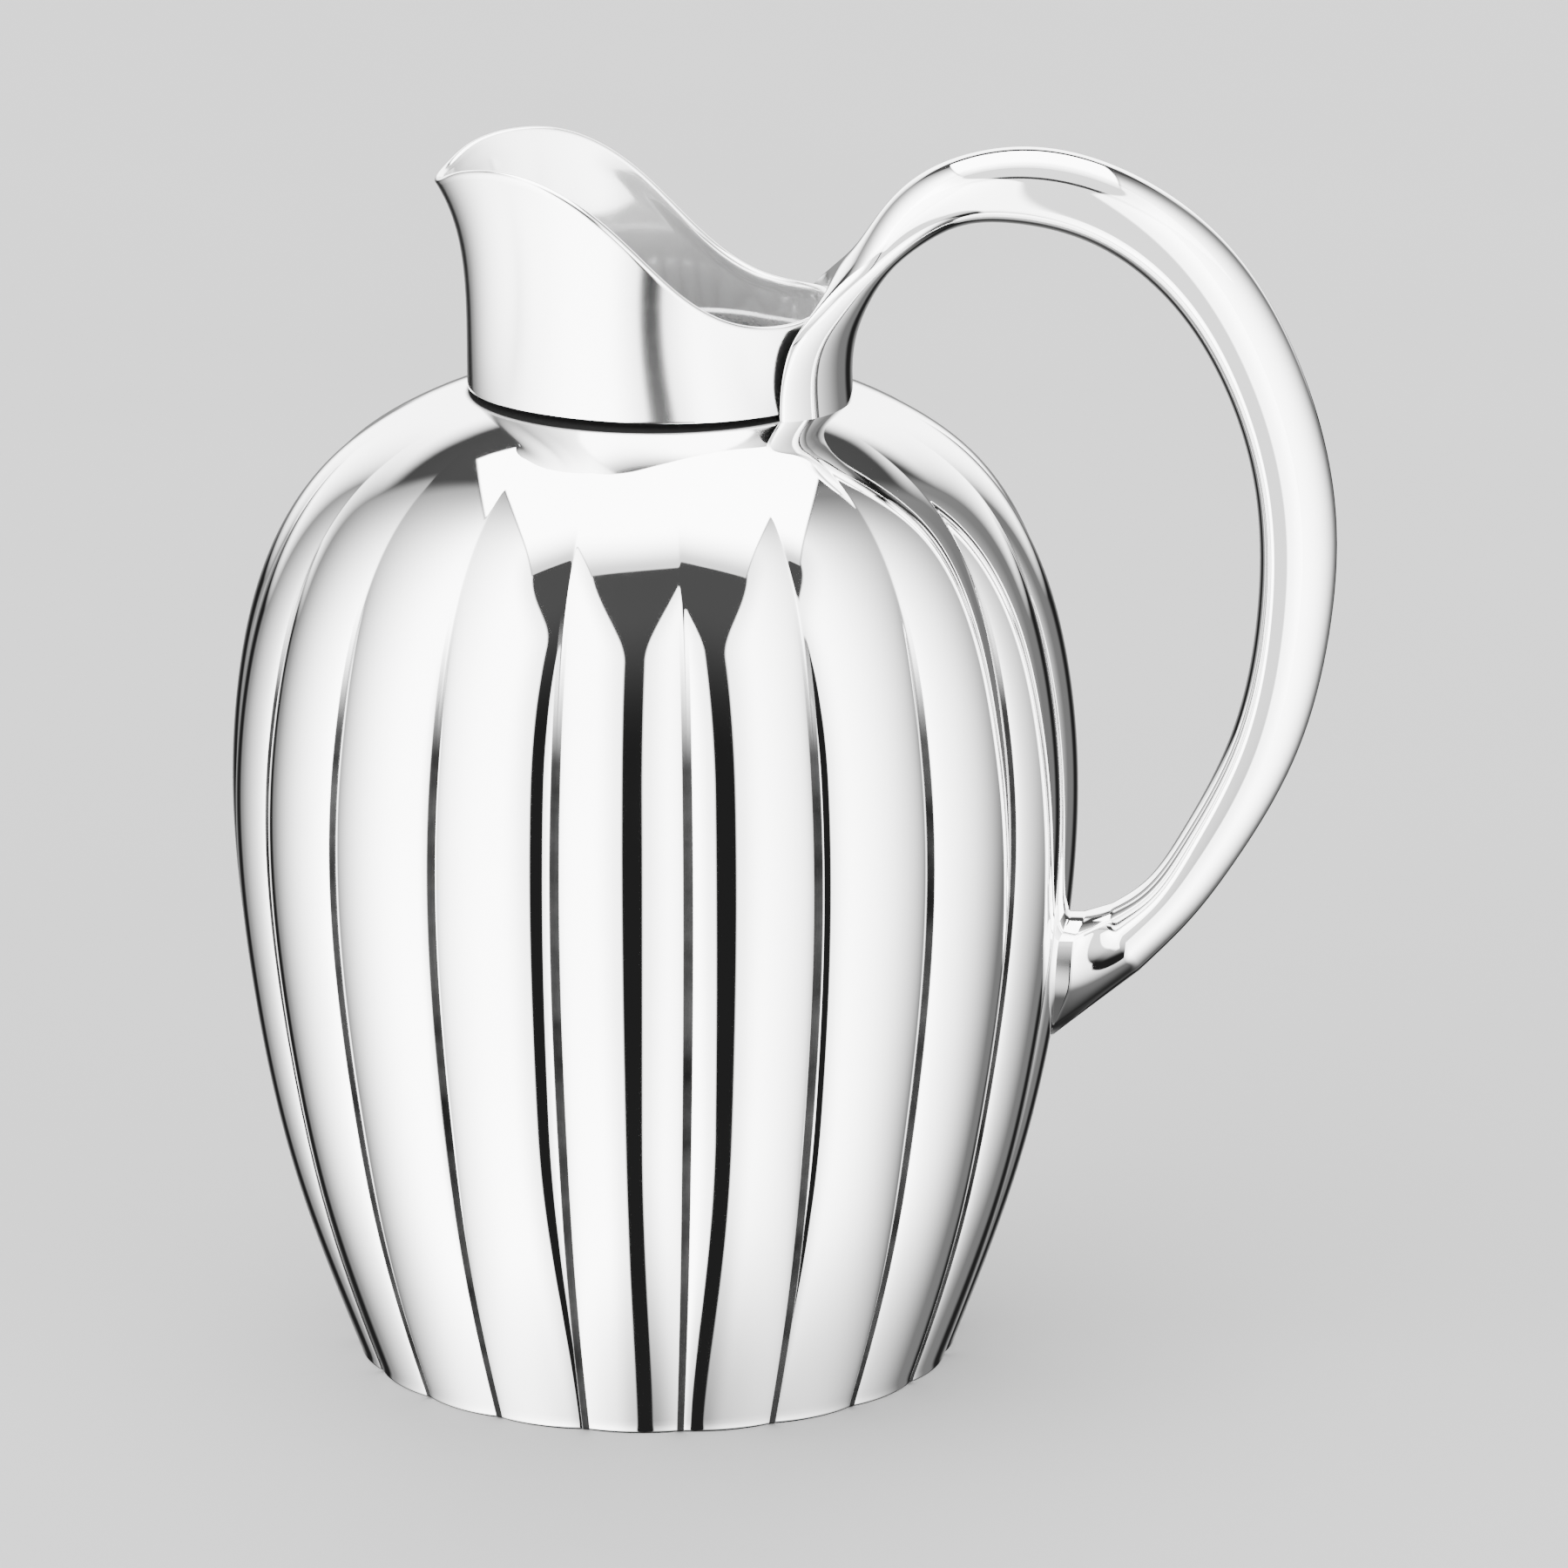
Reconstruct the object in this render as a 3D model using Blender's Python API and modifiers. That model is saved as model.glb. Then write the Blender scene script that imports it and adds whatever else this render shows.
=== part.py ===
"""Fluted metal water pitcher: lobed body, oval collar with a beaked spout, and a tall loop handle.

The origin is the centre of the flat base, +Z is up, the spout points to -X and the handle to +X.
The XZ plane is the plane of symmetry. Lengths are given in millimetres and scaled by MM.
"""
import math

import bmesh
import bpy
import numpy as np

MM = 0.001

# ---------------------------------------------------------------- driving dimensions (mm)
FIT_GAP = 0.3             # clearance between neighbouring pieces
WALL = 1.2                # sheet thickness of the body and the handle tube
COLLAR_WALL = 1.5         # sheet thickness of the collar

LOBES = 20                # vertical lobes round the body, one of them centred on the handle
STEPS_PER_LOBE = 4
LOBE_DEPTH = 3.0          # depth of the grooves between the lobes at the waist
LOBE_DEPTH_AT_BASE = 1.0
LOBE_POWER = 3.0          # 2 is an even curve across a lobe, more is flatter with steeper sides
LOBE_TOP_Z = 168.0        # above this height the shoulder is smooth
LOBE_FULL_Z = 112.0       # below this height the grooves have their full depth
LOBE_FADE_Z = 60.0        # below this height the grooves grow shallower again

# (radius, height) of the lobe crests, from the base edge to the collar
BODY_OUTLINE = [(53.3, 0.0), (65.0, 35.0), (72.0, 70.0), (74.5, 101.0), (72.6, 125.0),
                (66.4, 146.0), (56.9, 159.7), (44.8, 168.3), (32.0, 173.5), (27.5, 174.7)]
BODY_RINGS = 15

HEM_INNER_R = 46.5        # the body's turned-in bottom edge ends here
BASE_FLANGE_R = 49.0      # the base plate's flange lies on the hem
BASE_FLAT_R = 45.2        # the flat face that the pitcher stands on

NECK_RING_R = 26.6
NECK_RING_LOW = 166.0
NECK_RING_HIGH = 180.0
NECK_RING_WALL = 1.0

# the collar's foot is an oval that is blunter towards the handle
COLLAR_CENTRE_X = -0.25
COLLAR_HALF_LENGTH = 32.1
COLLAR_HALF_WIDTH = 31.0
COLLAR_EGG = 0.05         # how much wider the oval is on the handle's side
# the mouth: (angle from the handle in degrees, radius, height)
MOUTH = [(0, 31.4, 190.5), (25, 31.0, 188.8), (50, 28.0, 189.0), (75, 26.5, 195.2),
         (100, 27.1, 206.0), (125, 28.9, 213.2), (145, 32.0, 214.7), (160, 35.5, 213.2),
         (170, 37.0, 211.2), (180, 37.6, 210.3)]
COLLAR_STEPS = 56
COLLAR_RINGS = 8
SIDE_CURVE = 1.3          # how late the collar's wall leaves its foot radius, at the sides
SPOUT_CURVE = 4.3         # the same at the spout, which flares only near its lip
LIP_RADIUS = 1.0          # rounded wire along the mouth

# handle sections: (outer x, outer z), (inner x, inner z), half width, wrap round the collar.
# The outer outline is the side away from the body, the inner one faces it.
HANDLE_ROOT = [((32.2, 174.0), (34.7, 173.1), 21.5, 1.0), ((32.2, 181.0), (35.2, 181.0), 19.5, 1.0),
               ((32.2, 187.0), (36.8, 187.0), 15.0, 0.9), ((33.0, 192.6), (38.4, 190.9), 11.0, 0.5),
               ((34.6, 197.6), (41.0, 194.9), 8.6, 0.15)]
HANDLE_TUBE = [((39.0, 205.0), (45.4, 199.1), 7.0, 0.0), ((46.6, 212.4), (52.0, 203.0), 6.4, 0.0),
               ((62.0, 217.2), (61.6, 204.2), 6.8, 0.0), ((82.5, 213.0), (75.8, 200.9), 7.2, 0.0),
               ((99.1, 201.0), (88.6, 191.7), 7.2, 0.0), ((112.2, 179.6), (99.4, 175.1), 7.0, 0.0),
               ((118.6, 155.5), (105.0, 155.3), 6.9, 0.0), ((118.2, 133.0), (105.3, 134.2), 6.6, 0.0),
               ((112.4, 109.2), (101.0, 112.6), 6.0, 0.0), ((101.4, 88.8), (92.4, 94.6), 5.6, 0.0)]
HANDLE_FOOT = [((93.6, 78.6), (86.4, 86.6), 5.8, 0.0), ((85.4, 69.8), (79.6, 82.4), 7.2, 0.0),
               ((77.0, 62.4), (75.2, 80.2), 8.8, 0.0)]
FOOT_LOW_Z = 57.0         # pointed lower end of the foot, on the body
FOOT_HIGH_Z = 79.6
FOOT_HALF_WIDTH = 9.2
HANDLE_POINTS = 16        # points round a handle section
TUBE_WIDEST = 0.24        # where the tube is widest, from 0 at its inner side to 1 at its outer side
STRAP_WIDEST = 0.5        # the same for the strap on the collar
TUBE_STATIONS = 24
SPIGOT_LENGTH = 7.0       # stub of each casting inside the hollow tube

PATCH_CENTRE_Z = 69.0     # backing patch inside the body, behind the handle's foot
PATCH_HALF_HEIGHT = 17.0
PATCH_HALF_WIDTH = 5.6
PATCH_THICKNESS = 1.0

POLISHED = (0.90, 0.90, 0.91, 1.0)
SATIN = (0.62, 0.62, 0.63, 1.0)
FILLER = (0.78, 0.76, 0.70, 1.0)


# ---------------------------------------------------------------- helpers
def clear_scene():
    for thing in list(bpy.data.objects):
        bpy.data.objects.remove(thing, do_unlink=True)


def make_collection(name):
    collection = bpy.data.collections.new(name)
    bpy.context.scene.collection.children.link(collection)
    return collection


def make_material(name, colour, roughness):
    material = bpy.data.materials.new(name)
    material.use_nodes = True
    shader = material.node_tree.nodes["Principled BSDF"]
    shader.inputs["Base Color"].default_value = colour
    shader.inputs["Roughness"].default_value = roughness
    shader.inputs["Metallic"].default_value = 1.0
    return material


def smooth_step(value):
    value = min(max(value, 0.0), 1.0)
    return value * value * (3.0 - 2.0 * value)


def spline(points, samples):
    """A natural cubic curve through the points, read at evenly spaced shares of its chord length."""
    points = np.array(points, float)
    chord = np.linalg.norm(np.diff(points[:, :2], axis=0), axis=1)
    knots = np.concatenate([[0.0], np.cumsum(chord)])
    return spline_at(knots, points, np.linspace(0.0, knots[-1], samples))


def spline_at(knots, values, wanted):
    """Natural cubic interpolation of the rows of values, given at knots."""
    knots = np.array(knots, float)
    values = np.array(values, float)
    count = len(knots)
    gaps = np.diff(knots)
    matrix = np.eye(count)
    right = np.zeros_like(values)
    for i in range(1, count - 1):
        matrix[i, i - 1:i + 2] = gaps[i - 1], 2.0 * (gaps[i - 1] + gaps[i]), gaps[i]
        right[i] = 6.0 * ((values[i + 1] - values[i]) / gaps[i] - (values[i] - values[i - 1]) / gaps[i - 1])
    bend = np.linalg.solve(matrix, right)
    result = []
    for at in wanted:
        i = int(np.clip(np.searchsorted(knots, at) - 1, 0, count - 2))
        before = (at - knots[i]) / gaps[i]
        after = 1.0 - before
        pull = (after ** 3 - after) * bend[i] + (before ** 3 - before) * bend[i + 1]
        result.append(after * values[i] + before * values[i + 1] + pull * gaps[i] ** 2 / 6.0)
    return np.array(result)


def finish_object(name, mesh_builder, material, collection, sharp_degrees=40.0):
    """Turn a bmesh in millimetres into a named, smooth-shaded object in metres."""
    bmesh.ops.recalc_face_normals(mesh_builder, faces=mesh_builder.faces)
    bmesh.ops.scale(mesh_builder, vec=(MM, MM, MM), verts=mesh_builder.verts)
    mesh = bpy.data.meshes.new(name)
    mesh_builder.to_mesh(mesh)
    mesh_builder.free()
    mesh.shade_smooth()
    mesh.set_sharp_from_angle(angle=math.radians(sharp_degrees))
    mesh.materials.append(material)
    thing = bpy.data.objects.new(name, mesh)
    collection.objects.link(thing)
    return thing


def solidify(thing, thickness):
    modifier = thing.modifiers.new("wall", "SOLIDIFY")
    modifier.thickness = thickness * MM
    modifier.offset = -1.0
    modifier.use_even_offset = True
    return thing


def loft(rings, closed_ring=True, cap=True):
    """Skin a list of rings of (x, y, z) points with quads, and close both ends."""
    builder = bmesh.new()
    rows = [[builder.verts.new(point) for point in ring] for ring in rings]
    count = len(rows[0])
    spans = count if closed_ring else count - 1
    for lower, upper in zip(rows, rows[1:]):
        for i in range(spans):
            j = (i + 1) % count
            builder.faces.new((lower[i], lower[j], upper[j], upper[i]))
    if cap:
        builder.faces.new(rows[0])
        builder.faces.new(rows[-1])
    return builder


def turned(profile, steps):
    """Spin an outline of (radius, z) points about Z. A closed outline repeats its first point."""
    builder = bmesh.new()
    closed = profile[0] == profile[-1]
    points = profile[:-1] if closed else profile
    verts = [builder.verts.new((radius, 0.0, height)) for radius, height in points]
    pairs = list(zip(verts, verts[1:])) + ([(verts[-1], verts[0])] if closed else [])
    edges = [builder.edges.new(pair) for pair in pairs]
    bmesh.ops.spin(builder, geom=verts + edges, cent=(0, 0, 0), axis=(0, 0, 1), dvec=(0, 0, 0),
                   angle=2.0 * math.pi, steps=steps, use_merge=True)
    bmesh.ops.remove_doubles(builder, verts=builder.verts, dist=0.001)
    return builder


# ---------------------------------------------------------------- body
def lobe_depth(height):
    top = smooth_step((LOBE_TOP_Z - height) / (LOBE_TOP_Z - LOBE_FULL_Z))
    share = smooth_step(height / LOBE_FADE_Z)
    return top * (LOBE_DEPTH_AT_BASE + (LOBE_DEPTH - LOBE_DEPTH_AT_BASE) * share)


def lobe_drop(angle, height):
    """How far the fluted surface lies inside the lobe crests at an angle from the handle."""
    across = (angle * LOBES / (2.0 * math.pi) + 0.5) % 1.0 * 2.0 - 1.0
    return lobe_depth(height) * abs(across) ** LOBE_POWER


def body_outline():
    """The lobe crests' outline as an array of (radius, height) points."""
    return spline(BODY_OUTLINE, BODY_RINGS)


def body_radius(height):
    outline = body_outline()
    return float(np.interp(height, outline[:, 1], outline[:, 0]))


def shoulder_height(radius):
    """Height of the smooth shoulder round the neck at a radius."""
    outline = body_outline()[::-1]
    return float(np.interp(radius, outline[:, 0][:6], outline[:, 1][:6]))


def make_body(material, collection):
    outline = body_outline().tolist()
    hem = [(HEM_INNER_R, 0.0)]
    builder = turned([tuple(point) for point in hem + outline], LOBES * STEPS_PER_LOBE)
    for vert in builder.verts:
        radius = math.hypot(vert.co.x, vert.co.y)
        on_hem = radius < HEM_INNER_R + 1.0 and vert.co.z < 1.0
        if not on_hem:
            angle = math.atan2(vert.co.y, vert.co.x)
            factor = 1.0 - lobe_drop(angle, vert.co.z) / radius
            vert.co.x *= factor
            vert.co.y *= factor
    return solidify(finish_object("body_shell", builder, material, collection), WALL)


def make_base_plate(material, collection):
    step = WALL + FIT_GAP
    flat = BASE_FLAT_R
    profile = [(0.0, 0.0), (flat, 0.0), (flat + 0.6, 0.5), (flat + 0.9, step), (BASE_FLANGE_R, step),
               (BASE_FLANGE_R, step + WALL), (flat - 0.2, step + WALL), (flat - 0.9, WALL), (0.0, WALL)]
    return finish_object("base_plate", turned(profile, 64), material, collection)


def make_base_filler(material, collection):
    """Bead of filler metal in the corner between the base plate's flange and its rim."""
    low = 2.0 * WALL + 2.0 * FIT_GAP
    outer = BASE_FLANGE_R
    profile = [(outer, low), (outer, low + 0.4), (outer - 1.6, low + 1.2), (outer - 2.0, low), (outer, low)]
    return finish_object("base_filler_ring", turned(profile, 48), material, collection)


# ---------------------------------------------------------------- collar and lip
def collar_foot_radius(angle):
    """Radius of the collar's oval foot at an angle from the handle."""
    side = COLLAR_HALF_WIDTH * (1.0 + COLLAR_EGG * math.cos(angle))
    across = math.sin(angle) / side
    along = math.cos(angle) / COLLAR_HALF_LENGTH
    oval = 1.0 / math.hypot(across, along)
    return oval + COLLAR_CENTRE_X * math.cos(angle)


def mouth_at(angle):
    """Radius and height of the mouth's edge, the same on both sides."""
    degrees = math.degrees(abs(math.remainder(angle, 2.0 * math.pi)))
    knots = [-point[0] for point in MOUTH[2:0:-1]] + [point[0] for point in MOUTH]
    values = [point[1:] for point in MOUTH[2:0:-1]] + [point[1:] for point in MOUTH]
    return spline_at(knots, values, [degrees])[0]


def collar_point(angle, share):
    """Point of the collar's outer surface: share 0 is its foot and share 1 the mouth."""
    foot = collar_foot_radius(angle)
    low = shoulder_height(foot - COLLAR_WALL) + FIT_GAP
    radius, high = mouth_at(angle)
    spout = smooth_step((math.cos(angle) * -1.0 - 0.6) / 0.4)
    power = SIDE_CURVE + (SPOUT_CURVE - SIDE_CURVE) * spout
    at = foot + (radius - foot) * share ** power
    return at * math.cos(angle), at * math.sin(angle), low + (high - low) * share


def collar_ring(share, inset=0.0, lift=0.0):
    ring = []
    for i in range(COLLAR_STEPS):
        angle = 2.0 * math.pi * i / COLLAR_STEPS
        x, y, z = collar_point(angle, share)
        scale = 1.0 - inset / math.hypot(x, y)
        ring.append((x * scale, y * scale, z + lift))
    return ring


def make_collar(material, collection):
    rings = [collar_ring(i / COLLAR_RINGS) for i in range(COLLAR_RINGS + 1)]
    builder = loft(rings, cap=False)
    return solidify(finish_object("collar_shell", builder, material, collection), COLLAR_WALL)


def make_lip(material, collection):
    """Round wire that follows the mouth just above the collar's edge."""
    curve = bpy.data.curves.new("rim_lip", "CURVE")
    curve.dimensions = "3D"
    curve.bevel_depth = LIP_RADIUS * MM
    curve.bevel_resolution = 2
    path = curve.splines.new("POLY")
    points = collar_ring(1.0, inset=COLLAR_WALL / 2.0, lift=LIP_RADIUS + FIT_GAP + 0.25)
    path.points.add(len(points) - 1)
    for target, (x, y, z) in zip(path.points, points):
        target.co = (x * MM, y * MM, z * MM, 1.0)
    path.use_cyclic_u = True
    path.use_smooth = True
    curve.materials.append(material)
    thing = bpy.data.objects.new("rim_lip", curve)
    collection.objects.link(thing)
    return thing


def make_neck_ring(material, collection):
    """Sleeve inside the joint, which centres the collar on the body."""
    outer = NECK_RING_R
    inner = outer - NECK_RING_WALL
    profile = [(outer, NECK_RING_LOW), (outer, NECK_RING_HIGH), (inner, NECK_RING_HIGH),
               (inner, NECK_RING_LOW), (outer, NECK_RING_LOW)]
    return finish_object("neck_backing_ring", turned(profile, 48), material, collection)


def make_collar_filler(material, collection):
    """Thin ring of filler metal in the corner between the sleeve and the body's neck."""
    inner = NECK_RING_R + FIT_GAP
    low = BODY_OUTLINE[-1][1] + FIT_GAP
    profile = [(inner + 1.2, low), (inner, low + 1.2), (inner, low), (inner + 1.2, low)]
    return finish_object("collar_filler_ring", turned(profile, 48), material, collection)


# ---------------------------------------------------------------- handle
def collar_bend(y):
    """How far the back of the collar's oval foot has curved away at a sideways distance."""
    angles = np.radians(np.arange(0.0, 81.0, 5.0))
    radii = np.array([collar_foot_radius(angle) for angle in angles])
    along = radii * np.cos(angles)
    return along[0] - float(np.interp(abs(y), radii * np.sin(angles), along))


def handle_section(row, inset=0.0):
    """Closed egg-shaped section between an outer and an inner outline point.

    It is widest near its inner side, and wrap bends it round the collar.
    """
    outer_x, outer_z, inner_x, inner_z, width, wrap = row
    inner = np.array([inner_x, inner_z])
    across = np.array([outer_x, outer_z]) - inner
    thickness = np.linalg.norm(across)
    across = across / thickness
    widest = thickness * (TUBE_WIDEST + (STRAP_WIDEST - TUBE_WIDEST) * wrap)
    ring = []
    for i in range(HANDLE_POINTS):
        angle = 2.0 * math.pi * i / HANDLE_POINTS
        reach = thickness - widest if math.cos(angle) > 0.0 else widest
        y = (width - inset) * math.sin(angle)
        x, z = inner + across * (widest + (reach - inset) * math.cos(angle))
        ring.append((x - wrap * collar_bend(y), y, z))
    return ring


def flat_rows(rows):
    return [(*outer, *inner, width, wrap) for outer, inner, width, wrap in rows]


def handle_rows(samples):
    """The tube's sections, spaced evenly along it."""
    rows = flat_rows(HANDLE_TUBE)
    middle = [((r[0] + r[2]) / 2.0, (r[1] + r[3]) / 2.0) for r in rows]
    steps = [0.0] + [math.dist(a, b) for a, b in zip(middle, middle[1:])]
    knots = np.cumsum(steps)
    return [tuple(row) for row in spline_at(knots, rows, np.linspace(0.0, knots[-1], samples))]


def half_tube_ring(row, side):
    """C-shaped section of one half of the handle tube, on the side +1 or -1 of the XZ plane."""
    count = HANDLE_POINTS // 2
    full = handle_section(row, 0.0)[:count + 1]
    inner = handle_section(row, WALL)[:count + 1]
    ring = full + inner[::-1]
    joint = FIT_GAP / 2.0
    return [(x, side * max(y, joint), z) for x, y, z in ring]


def make_handle_halves(material, collection):
    rows = handle_rows(TUBE_STATIONS)
    halves = []
    for name, side in (("handle_left_shell", -1), ("handle_right_shell", 1)):
        builder = loft([half_tube_ring(row, side) for row in rows])
        halves.append(finish_object(name, builder, material, collection))
    return halves


def spigot_rings(end_row, next_row):
    """A step down just short of the tube's end, then a stub inside it."""
    inset = WALL + FIT_GAP
    end_row = np.array(end_row)
    step = np.array(next_row) - end_row
    length = np.linalg.norm(step[:2] + step[2:4]) / 2.0
    start = end_row - step * FIT_GAP / length
    stop = end_row + step * SPIGOT_LENGTH / length
    return [handle_section(start), handle_section(start, inset), handle_section(stop, inset)]


def make_handle_root(material, collection):
    """Solid strap that grips the back of the collar and runs up into the handle tube."""
    rows = flat_rows(HANDLE_ROOT)
    tube = handle_rows(TUBE_STATIONS)
    rings = [handle_section(row) for row in rows] + spigot_rings(tube[0], tube[1])
    return finish_object("handle_root", loft(rings), material, collection)


def foot_ring(share):
    """Shield-shaped ring of the foot's face, which follows the body's lobe a gap outside it."""
    centre = (FOOT_HIGH_Z + FOOT_LOW_Z) / 2.0
    half = (FOOT_HIGH_Z - FOOT_LOW_Z) / 2.0
    ring = []
    for i in range(HANDLE_POINTS):
        angle = 2.0 * math.pi * i / HANDLE_POINTS
        z = centre - half * math.cos(angle)
        shield = smooth_step((z - FOOT_LOW_Z) / (FOOT_HIGH_Z - FOOT_LOW_Z) * 1.25)
        side = math.copysign(min(1.0, abs(math.sin(angle)) * 1.6), math.sin(angle))
        y = FOOT_HALF_WIDTH * shield * side * share
        z = centre + (z - centre) * share
        radius = body_radius(z)
        around = y / radius
        reach = radius - lobe_drop(around, z) + FIT_GAP
        ring.append((reach * math.cos(around), y, z))
    return ring


def make_handle_foot(material, collection):
    """Solid foot that flares from the tube to a pointed shield on the body."""
    rows = flat_rows(HANDLE_FOOT)
    tube = handle_rows(TUBE_STATIONS)
    stub = spigot_rings(tube[-1], tube[-2])
    face = [foot_ring(share) for share in (1.0, 0.7, 0.4, 0.15)]
    rings = stub[::-1] + [handle_section(row) for row in rows] + face
    return finish_object("handle_foot", loft(rings), material, collection)


def make_foot_patch(material, collection):
    """Backing patch on the body's inner wall, behind the foot."""
    rings = []
    for i in range(7):
        share = i / 6.0 * 2.0 - 1.0
        z = PATCH_CENTRE_Z + PATCH_HALF_HEIGHT * share
        half = PATCH_HALF_WIDTH * math.sqrt(max(1.0 - 0.9 * share * share, 0.0))
        row = []
        for j in range(5):
            y = half * (j / 2.0 - 1.0)
            radius = body_radius(z)
            around = y / radius
            reach = radius - lobe_drop(around, z) - WALL - 2.0 * FIT_GAP
            row.append((reach * math.cos(around), y, z))
        rings.append(row)
    builder = loft(rings, closed_ring=False, cap=False)
    thing = finish_object("foot_backing_patch", builder, material, collection)
    wall = solidify(thing, PATCH_THICKNESS)
    wall.modifiers["wall"].offset = 1.0 if thing.data.polygons[0].normal.x < 0.0 else -1.0
    return wall


# ---------------------------------------------------------------- assembly
def build_pitcher():
    clear_scene()
    collection = make_collection("water_pitcher")
    polished = ("body_shell", "collar_shell", "rim_lip", "handle_root", "handle_left_shell",
                "handle_right_shell", "handle_foot")
    materials = {name: make_material(name, POLISHED, 0.04) for name in polished}
    make_body(materials["body_shell"], collection)
    make_base_plate(make_material("base_plate", SATIN, 0.3), collection)
    make_base_filler(make_material("base_filler_ring", FILLER, 0.4), collection)
    make_collar(materials["collar_shell"], collection)
    make_lip(materials["rim_lip"], collection)
    make_neck_ring(make_material("neck_backing_ring", SATIN, 0.3), collection)
    make_collar_filler(make_material("collar_filler_ring", FILLER, 0.4), collection)
    make_handle_root(materials["handle_root"], collection)
    make_handle_halves(materials["handle_left_shell"], collection)
    make_handle_foot(materials["handle_foot"], collection)
    make_foot_patch(make_material("foot_backing_patch", SATIN, 0.3), collection)


build_pitcher()
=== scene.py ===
"""Looks of the fluted water pitcher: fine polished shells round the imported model, studio light and camera.

Lengths are in millimetres in the part's own frame and are scaled by MM when a mesh is made.
"""

import math

import bpy
import numpy as np
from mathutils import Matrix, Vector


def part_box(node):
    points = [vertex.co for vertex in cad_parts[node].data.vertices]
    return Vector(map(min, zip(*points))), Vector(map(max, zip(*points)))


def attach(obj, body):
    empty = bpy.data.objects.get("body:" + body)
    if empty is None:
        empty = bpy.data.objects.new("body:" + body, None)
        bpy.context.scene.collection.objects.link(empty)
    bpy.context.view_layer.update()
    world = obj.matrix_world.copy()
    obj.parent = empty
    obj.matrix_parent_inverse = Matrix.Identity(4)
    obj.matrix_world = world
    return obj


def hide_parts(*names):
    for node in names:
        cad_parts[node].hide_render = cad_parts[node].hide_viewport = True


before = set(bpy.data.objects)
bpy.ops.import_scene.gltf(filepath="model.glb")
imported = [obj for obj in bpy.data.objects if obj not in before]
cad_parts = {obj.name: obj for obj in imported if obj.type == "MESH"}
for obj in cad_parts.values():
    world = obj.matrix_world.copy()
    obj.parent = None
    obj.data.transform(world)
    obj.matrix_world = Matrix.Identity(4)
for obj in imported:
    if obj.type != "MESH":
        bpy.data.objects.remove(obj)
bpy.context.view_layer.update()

MM = 0.001
BODY_TOP_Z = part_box("body_shell")[1][2] / MM

# ---------------------------------------------------------------- dimensions (mm)
WALL = 1.2
COLLAR_WALL = 1.5
LOBES = 20
LOBE_STEPS = 28                 # points across a lobe
LOBE_SWELL = 2.05               # depth of a lobe's broad swelling
SWELL_POWER = 2.0
SWELL_HEIGHTS = (170.0, 120.0)  # from the upper to the lower one it comes in
LOBE_CREASE = 0.5               # further depth of the steep drop into the groove
CREASE_POWER = 12.0
CREASE_HEIGHTS = (156.0, 122.0)
LOBE_SHARE_AT_BASE = 0.36       # depth there, as a share of the full depth at LOBE_FADE_Z
LOBE_FADE_Z = 60.0
LOBE_CROWDING = 1.8             # how strongly the points crowd towards the grooves
GROOVE_ROUND = 0.022            # share of a half lobe that is rounded at the bottom of the groove
BODY_ROWS = 190                 # on the outside, and a third of that inside
BASE_CORNER = 0.8
HEM_INNER_R = 46.5
BASE_R = 53.3
SHOULDER_FROM_Z = 150.0
FLANGE_R = 49.0                 # of the base plate
BEAD_R = 47.0
BODY_OUTLINE = [(BASE_R, BASE_CORNER), (65.0, 35.0), (72.0, 70.0), (74.5, 101.0), (72.6, 125.0),
                (66.4, 146.0), (56.9, 159.7), (44.8, 168.3), (32.0, 173.5), (27.5, BODY_TOP_Z)]

COLLAR_CENTRE_X = -0.25
COLLAR_HALF_LENGTH = 32.1
COLLAR_HALF_WIDTH = 31.0
COLLAR_EGG = 0.05
# (angle from the handle in degrees, radius, height) of the mouth's outer edge
MOUTH = [(0, 31.9, 189.6), (25, 31.5, 188.6), (50, 28.2, 189.0), (75, 26.8, 195.2),
         (100, 27.3, 206.0), (125, 29.1, 213.2), (145, 32.1, 214.7), (160, 35.6, 213.2),
         (170, 37.1, 211.1), (180, 37.7, 210.3)]
SIDE_CURVE = 1.3                # power of the wall's outward curve at the sides
SPOUT_CURVE = 4.3               # and at the spout
# where one shape gives way to the next, from -1 at the handle to 1 at the spout
SPOUT_SPAN = (0.6, 1.0)
WAIST_BEGINS = (-0.9, -0.6)
WAIST_ENDS = (0.75, 1.0)
WAIST_SHARE = 0.06              # how far the sides are drawn in half way up, as a share of their height
COLLAR_STEPS = 360              # round the collar
COLLAR_ROWS = 60                # up its outside
COLLAR_INNER_ROWS = 40
LIP_THICKNESS = 1.9
LIP_BLEND = (0.86, 1.0)         # the wall thickens over this share of its height
LIP_ROWS = 13
SEAM_GAP = 0.3                  # between soldered pieces
COLLAR_SEAM = 0.4               # under the collar
FOOT_ROUND = 0.6                # rounding of the collar's lower edge
FOOT_ROUND_ROWS = 5

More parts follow.
